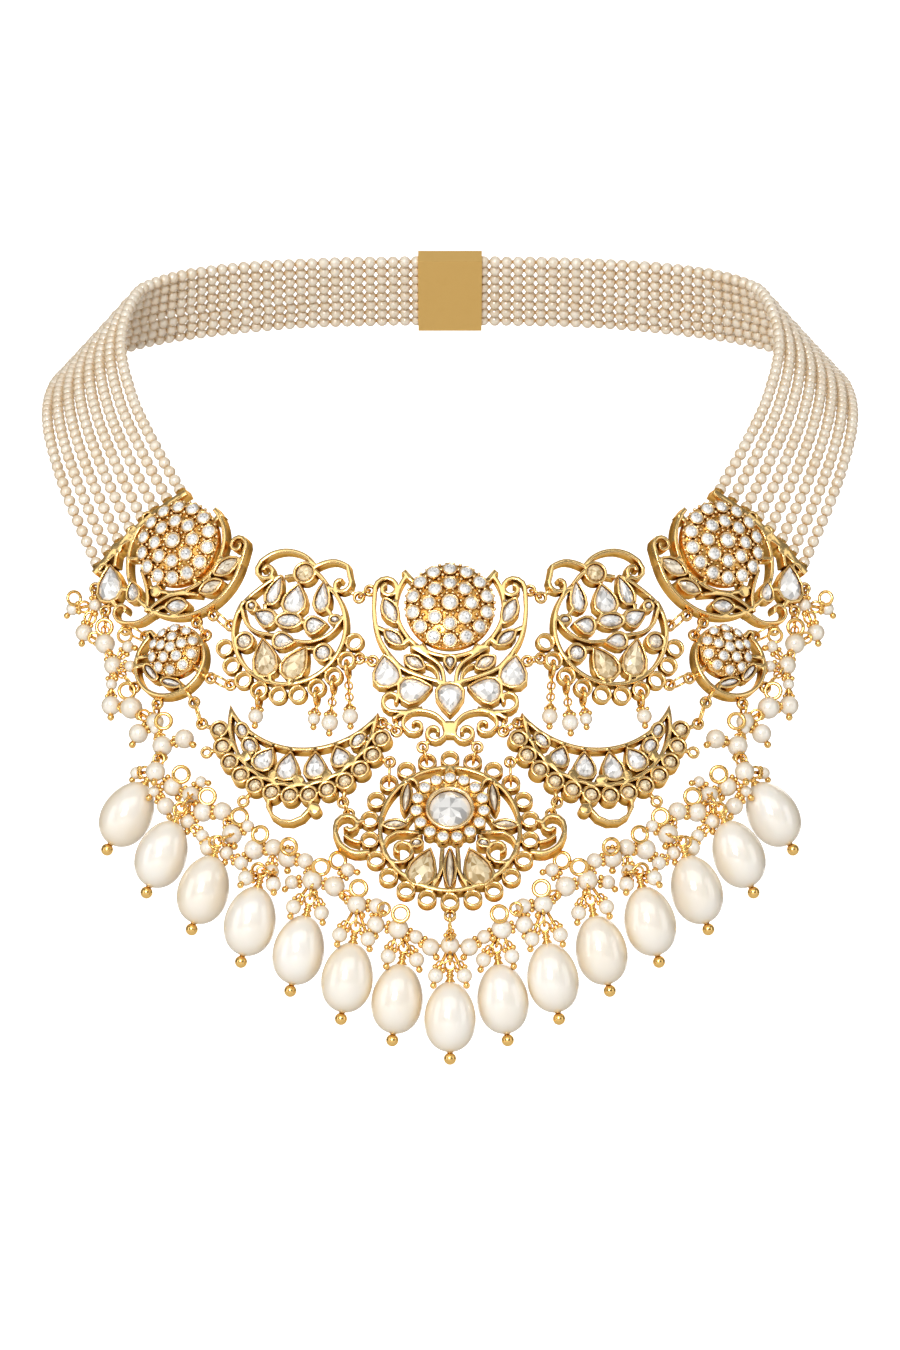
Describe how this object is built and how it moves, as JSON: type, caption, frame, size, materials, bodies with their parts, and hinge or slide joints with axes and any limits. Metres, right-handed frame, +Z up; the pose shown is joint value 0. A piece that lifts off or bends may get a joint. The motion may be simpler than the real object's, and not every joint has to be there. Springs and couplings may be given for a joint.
{
  "type": "kundan bib necklace",
  "caption": "Kundan bib necklace: pierced gold plaques with cut stones and pearl rosettes, hung between two bundles of pearl strings, with pearl fringes and egg-shaped pearl drops.",
  "frame": {"origin": "centre of the neck hollow, where the necklace sits on a neck", "axes": "+Z up, the wearer looks along -Y, +X to the right of someone facing the wearer"},
  "size_m": [0.188, 0.1686, 0.1855],
  "materials": {
    "antique_gold": "warm antique gold plating, bright on the rims and brown in the hollows",
    "bright_gold": "polished gold wire, rings and balls",
    "string_pearl": "small cream pearls, satin lustre",
    "drop_pearl": "large cream pearls, soft lustre",
    "cut_stone": "foil-backed clear cut stones, some of them champagne"
  },
  "bodies": {
    "root": {"centre_plaque": "antique_gold", "medallion": "antique_gold", "clasp": "antique_gold", "lotus_plaque_left": "antique_gold", "lotus_plaque_right": "antique_gold", "side_plaque_left": "antique_gold", "side_plaque_right": "antique_gold", "rosette_plaque_left": "antique_gold", "rosette_plaque_right": "antique_gold", "crescent_left": "antique_gold", "crescent_right": "antique_gold", "drop_pins": "bright_gold", "link_rings": "bright_gold", "centre_stones": "cut_stone", "medallion_stones": "cut_stone", "lotus_stones_left": "cut_stone", "lotus_stones_right": "cut_stone", "side_stones_left": "cut_stone", "side_stones_right": "cut_stone", "rosette_stones_left": "cut_stone", "rosette_stones_right": "cut_stone", "crescent_stones_left": "cut_stone", "crescent_stones_right": "cut_stone", "pearl_fringe_left": "string_pearl", "pearl_fringe_centre": "string_pearl", "pearl_fringe_right": "string_pearl", "strand_left_1": "string_pearl", "strand_left_2": "string_pearl", "strand_left_3": "string_pearl", "strand_left_4": "string_pearl", "strand_left_5": "string_pearl", "strand_left_6": "string_pearl", "strand_left_7": "string_pearl", "strand_left_8": "string_pearl", "strand_right_1": "string_pearl", "strand_right_2": "string_pearl", "strand_right_3": "string_pearl", "strand_right_4": "string_pearl", "strand_right_5": "string_pearl", "strand_right_6": "string_pearl", "strand_right_7": "string_pearl", "strand_right_8": "string_pearl", "drop_pearl_1": "drop_pearl", "drop_pearl_2": "drop_pearl", "drop_pearl_3": "drop_pearl", "drop_pearl_4": "drop_pearl", "drop_pearl_5": "drop_pearl", "drop_pearl_6": "drop_pearl", "drop_pearl_7": "drop_pearl", "drop_pearl_8": "drop_pearl", "drop_pearl_9": "drop_pearl", "drop_pearl_10": "drop_pearl", "drop_pearl_11": "drop_pearl", "drop_pearl_12": "drop_pearl", "drop_pearl_13": "drop_pearl", "drop_pearl_14": "drop_pearl", "drop_pearl_15": "drop_pearl"}
  },
  "joints": []
}
